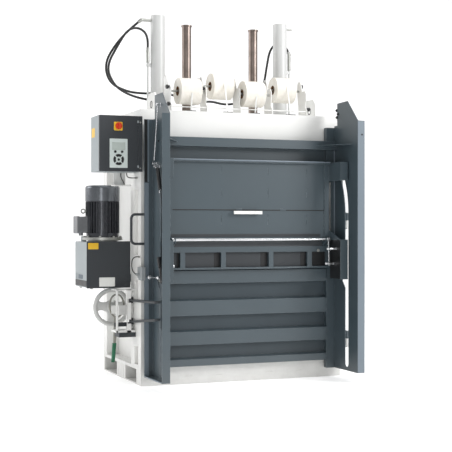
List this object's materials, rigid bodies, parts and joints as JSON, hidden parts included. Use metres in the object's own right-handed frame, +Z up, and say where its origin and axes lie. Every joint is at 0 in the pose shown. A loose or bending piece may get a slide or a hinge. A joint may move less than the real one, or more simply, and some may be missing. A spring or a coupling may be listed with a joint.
{
  "type": "recycling baler",
  "caption": "Upright recycling baler: white frame, grey front door with a dropping loading flap, twin press rams, strapping rolls and a side power pack.",
  "frame": {"origin": "centre of the machine's base on the floor, without the power pack and the front wings", "axes": "+X to the machine's right seen from the front, +Y to the back, +Z up"},
  "size_m": [2.185, 1.566, 2.985],
  "materials": {
    "body_white": "satin paint",
    "door_grey": "satin paint",
    "dark_grey": "fine texture paint",
    "light_grey": "satin paint",
    "motor_black": "painted",
    "bright_steel": "polished",
    "raw_steel": "machined",
    "guide_steel": "drawn tube",
    "strap_white": "wound strap",
    "black_plastic": "moulded",
    "switch_red": "moulded",
    "panel_light": "printed film",
    "grip_green": "moulded",
    "hose_black": "smooth",
    "switch_grey": "moulded"
  },
  "bodies": {
    "machine": {"base_frame": "body_white", "side_frame_left": "body_white", "side_frame_right": "body_white", "back_wall": "body_white", "chamber_liner": "body_white", "header_box": "body_white", "cylinders": "body_white", "guide_collars": "body_white", "roll_stand": "body_white", "strap_fittings": "black_plastic", "roll_spindles": "raw_steel", "hinge_brackets": "body_white", "lock_cage": "light_grey", "lock_shelf": "dark_grey", "door_switch": "switch_grey", "tank_body": "light_grey", "tank_cover": "dark_grey", "motor_flange": "light_grey", "motor_housing": "motor_black", "motor_cowl": "motor_black", "terminal_box": "motor_black", "fittings": "raw_steel", "control_case": "light_grey", "case_bracket": "body_white", "case_fittings": "light_grey", "hose_a": "hose_black", "hose_b": "hose_black", "hose_c": "hose_black", "leads": "hose_black"},
    "platen": {"press_platen": "body_white", "piston_rods": "bright_steel", "guide_tubes": "guide_steel"},
    "door": {"wing_left": "door_grey", "wing_right": "door_grey", "door_frame": "door_grey", "door_panel": "door_grey", "door_handle": "door_grey", "wing_fittings": "motor_black"},
    "flap": {"flap_panel": "door_grey", "flap_beam": "door_grey", "flap_sides": "door_grey", "flap_pins": "raw_steel", "flap_handle": "body_white"},
    "cross_bar": {"cross_bar": "bright_steel"},
    "handwheel": {"handwheel": "raw_steel"},
    "ratchet_lever": {"ratchet_lever": "raw_steel", "lever_grip": "grip_green"},
    "lock_nut": {"lock_nut": "raw_steel"},
    "lock_claws": {"lock_claws": "motor_black"},
    "case_door": {"case_door": "dark_grey", "keypad_plate": "panel_light"},
    "main_switch": {"main_switch": "switch_red"},
    "key_left": {"key_left": "black_plastic"},
    "key_right": {"key_right": "black_plastic"},
    "key_pad": {"key_pad": "black_plastic"},
    "roll_1": {"strap_roll_1": "strap_white"},
    "roll_2": {"strap_roll_2": "strap_white"},
    "roll_3": {"strap_roll_3": "strap_white"},
    "roll_4": {"strap_roll_4": "strap_white"},
    "fan": {"motor_fan": "motor_black"}
  },
  "joints": [
    {"name": "platen_slide", "type": "slide", "parent": "machine", "child": "platen", "axis": [0, 0, -1], "range_m": [0, 0.65]},
    {"name": "door_swing", "type": "hinge", "parent": "machine", "child": "door", "pos_m": [0.89, -0.606, 1.15], "axis": [0, 0, 1], "range_deg": [0, 100]},
    {"name": "flap_drop", "type": "slide", "parent": "door", "child": "flap", "axis": [0, 0, -1], "range_m": [0, 0.68]},
    {"name": "bar_turn", "type": "hinge", "parent": "flap", "child": "cross_bar", "pos_m": [0, -0.694, 1.135], "axis": [1, 0, 0], "range_deg": [-25, 8]},
    {"name": "wheel_turn", "type": "hinge", "parent": "machine", "child": "handwheel", "pos_m": [-0.942, -0.05, 0.58], "axis": [0, 1, 0], "range_deg": [0, 1800]},
    {"name": "nut_slide", "type": "slide", "parent": "machine", "child": "lock_nut", "axis": [0, 1, 0], "range_m": [0, 0.03]},
    {"name": "claw_swing", "type": "hinge", "parent": "lock_nut", "child": "lock_claws", "pos_m": [-0.884, -0.34, 0.58], "axis": [0, 0, 1], "range_deg": [-30, 0]},
    {"name": "lever_swing", "type": "hinge", "parent": "machine", "child": "ratchet_lever", "pos_m": [-0.942, -0.091, 0.58], "axis": [0, 1, 0], "range_deg": [-18, 110]},
    {"name": "case_door_swing", "type": "hinge", "parent": "machine", "child": "case_door", "pos_m": [-0.9055, -0.601, 1.87], "axis": [0, 0, 1], "range_deg": [0, 100]},
    {"name": "switch_turn", "type": "hinge", "parent": "case_door", "child": "main_switch", "pos_m": [-1.061, -0.604, 2.007], "axis": [0, 1, 0], "range_deg": [0, 90]},
    {"name": "key_left_press", "type": "slide", "parent": "case_door", "child": "key_left", "axis": [0, 1, 0], "range_m": [0, 0.0015], "stiffness_N_per_m": 1500},
    {"name": "key_right_press", "type": "slide", "parent": "case_door", "child": "key_right", "axis": [0, 1, 0], "range_m": [0, 0.0015], "stiffness_N_per_m": 1500},
    {"name": "key_pad_press", "type": "slide", "parent": "case_door", "child": "key_pad", "axis": [0, 1, 0], "range_m": [0, 0.0015], "stiffness_N_per_m": 2000},
    {"name": "fan_spin", "type": "hinge", "parent": "machine", "child": "fan", "pos_m": [-1.048, -0.09, 1.48], "axis": [0, 0, 1], "continuous": true},
    {"name": "roll_1_spin", "type": "hinge", "parent": "machine", "child": "roll_1", "pos_m": [-0.446, -0.45, 2.314], "axis": [1, 0, 0], "continuous": true},
    {"name": "roll_2_spin", "type": "hinge", "parent": "machine", "child": "roll_2", "pos_m": [-0.133, -0.35, 2.376], "axis": [1, 0, 0], "continuous": true},
    {"name": "roll_3_spin", "type": "hinge", "parent": "machine", "child": "roll_3", "pos_m": [0.105, -0.45, 2.314], "axis": [1, 0, 0], "continuous": true},
    {"name": "roll_4_spin", "type": "hinge", "parent": "machine", "child": "roll_4", "pos_m": [0.423, -0.35, 2.37], "axis": [1, 0, 0], "continuous": true}
  ],
  "couplings": [
    {"joint": "nut_slide", "follows": "wheel_turn", "m_per_rad": 0.000954}
  ]
}
